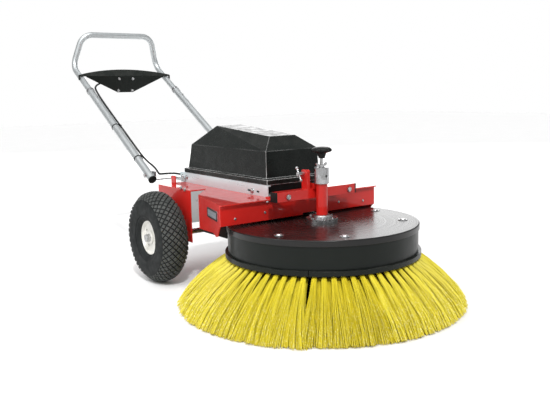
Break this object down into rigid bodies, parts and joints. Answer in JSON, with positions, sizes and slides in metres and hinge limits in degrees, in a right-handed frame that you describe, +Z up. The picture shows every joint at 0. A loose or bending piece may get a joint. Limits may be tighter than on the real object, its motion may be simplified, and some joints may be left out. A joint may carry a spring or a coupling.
{
  "type": "walk behind sweeper",
  "caption": "Walk-behind disc sweeper: a flat bristle disc in front, two air-tyred wheels, a faceted hood and a bent push handle.",
  "frame": {"origin": "on the ground, under the middle of the machine's outline", "axes": "+Z up, +Y back towards the operator, +X across the machine"},
  "size_m": [0.866, 1.9503, 0.942],
  "materials": {
    "red_paint": "gloss",
    "zinc_steel": "satin",
    "handle_metal": "satin",
    "tray_metal": "brushed",
    "rim_metal": "satin",
    "tyre_rubber": "matt",
    "hood_plastic": "satin",
    "black_plastic": "satin",
    "black_paint": "satin",
    "bristle_yellow": "satin",
    "cable_black": "matt",
    "motor_grey": "cast",
    "plate_grey": "satin"
  },
  "bodies": {
    "chassis": {"axle": "zinc_steel", "axle_box": "red_paint", "axle_collars": "zinc_steel", "cover_plate": "tray_metal", "battery_pack": "black_plastic", "battery_tray": "tray_metal", "belly_pan": "black_paint", "chassis_webs": "red_paint", "clamp_collar": "zinc_steel", "cross_bolts": "zinc_steel", "cross_tube": "red_paint", "cross_tube_caps": "black_plastic", "front_bumper": "red_paint", "front_deck": "red_paint", "gear_motor": "motor_grey", "handle_brackets": "zinc_steel", "pivot_bolts": "zinc_steel", "hinge_brackets": "red_paint", "motor_controller": "motor_grey", "name_plate": "plate_grey", "side_guards": "red_paint", "spindle_sleeve": "red_paint", "cable_lower": "cable_black"},
    "brush": {"brush_disc": "black_paint", "brush_drum": "black_paint", "segment_backings": "black_paint", "bristles_1": "bristle_yellow", "bristles_2": "bristle_yellow", "bristles_3": "bristle_yellow", "disc_bolts": "zinc_steel", "hub_flange": "zinc_steel", "hub_bearing": "zinc_steel"},
    "knob": {"star_knob": "black_plastic", "adjuster_spindle": "zinc_steel"},
    "lock_nut": {"wing_nut": "zinc_steel"},
    "lock_screw": {"wing_screw": "zinc_steel"},
    "castor_stem": {"castor_post": "zinc_steel"},
    "castor_frame": {"castor_fork": "zinc_steel", "castor_axle": "zinc_steel"},
    "castor_wheel": {"castor_tyre": "tyre_rubber", "castor_hub": "black_plastic"},
    "roller": {"drive_roller": "tyre_rubber", "roller_shaft": "zinc_steel"},
    "wheel_left": {"tyre_left": "tyre_rubber", "rim_left": "rim_metal"},
    "wheel_right": {"tyre_right": "tyre_rubber", "rim_right": "rim_metal"},
    "hood_lid": {"hood": "hood_plastic", "hood_hinge_leaf": "zinc_steel"},
    "handle": {"lower_tubes": "handle_metal", "handle_loop": "handle_metal", "handle_end_caps": "black_plastic", "tube_clamps": "zinc_steel", "dash_panel": "black_paint", "dash_bolts": "zinc_steel", "control_box": "black_plastic", "cable_upper": "cable_black", "cable_ties": "black_plastic"},
    "switch": {"rocker_switch": "black_plastic"},
    "dial": {"speed_dial": "black_plastic"}
  },
  "joints": [
    {"name": "brush_spin", "type": "hinge", "parent": "chassis", "child": "brush", "pos_m": [0, -0.5421, 0.25], "axis": [0, 0, 1], "continuous": true},
    {"name": "roller_spin", "type": "hinge", "parent": "chassis", "child": "roller", "pos_m": [0, -0.3411, 0.2863], "axis": [0, 1, 0], "continuous": true},
    {"name": "wheel_left_spin", "type": "hinge", "parent": "chassis", "child": "wheel_left", "pos_m": [-0.296, 0.0109, 0.161], "axis": [1, 0, 0], "continuous": true},
    {"name": "wheel_right_spin", "type": "hinge", "parent": "chassis", "child": "wheel_right", "pos_m": [0.296, 0.0109, 0.161], "axis": [1, 0, 0], "continuous": true},
    {"name": "knob_turn", "type": "hinge", "parent": "chassis", "child": "knob", "pos_m": [0, -0.5421, 0.47], "axis": [0, 0, 1], "range_deg": [-900, 2700]},
    {"name": "castor_height", "type": "slide", "parent": "chassis", "child": "castor_stem", "axis": [0, 0, 1], "range_m": [-0.03, 0.01]},
    {"name": "castor_swivel", "type": "hinge", "parent": "castor_stem", "child": "castor_frame", "pos_m": [0, -0.5421, 0.13], "axis": [0, 0, 1], "continuous": true},
    {"name": "castor_roll", "type": "hinge", "parent": "castor_frame", "child": "castor_wheel", "pos_m": [0, -0.5081, 0.057], "axis": [1, 0, 0], "continuous": true},
    {"name": "lock_nut_turn", "type": "hinge", "parent": "chassis", "child": "lock_nut", "pos_m": [0, -0.5421, 0.43], "axis": [0, 0, 1], "range_deg": [0, 180]},
    {"name": "lock_screw_turn", "type": "hinge", "parent": "chassis", "child": "lock_screw", "pos_m": [-0.06, -0.5031, 0.404], "axis": [1, 0, 0], "range_deg": [0, 150]},
    {"name": "hood_open", "type": "hinge", "parent": "chassis", "child": "hood_lid", "pos_m": [0, 0.1289, 0.374], "axis": [1, 0, 0], "range_deg": [-70, 0]},
    {"name": "handle_tilt", "type": "hinge", "parent": "chassis", "child": "handle", "pos_m": [0, 0.2379, 0.353], "axis": [1, 0, 0], "range_deg": [-15, 20]},
    {"name": "switch_rock", "type": "hinge", "parent": "handle", "child": "switch", "pos_m": [0.032, 0.90195, 0.72069], "axis": [0, 0.2756, -0.9613], "range_deg": [-8, 8]},
    {"name": "dial_turn", "type": "hinge", "parent": "handle", "child": "dial", "pos_m": [-0.03, 0.91061, 0.72317], "axis": [0, 0.9613, 0.2756], "range_deg": [0, 270]}
  ],
  "couplings": [
    {"joint": "roller_spin", "follows": "brush_spin", "ratio": 6.7},
    {"joint": "knob_turn", "follows": "castor_height", "rad_per_m": -1570.8}
  ]
}
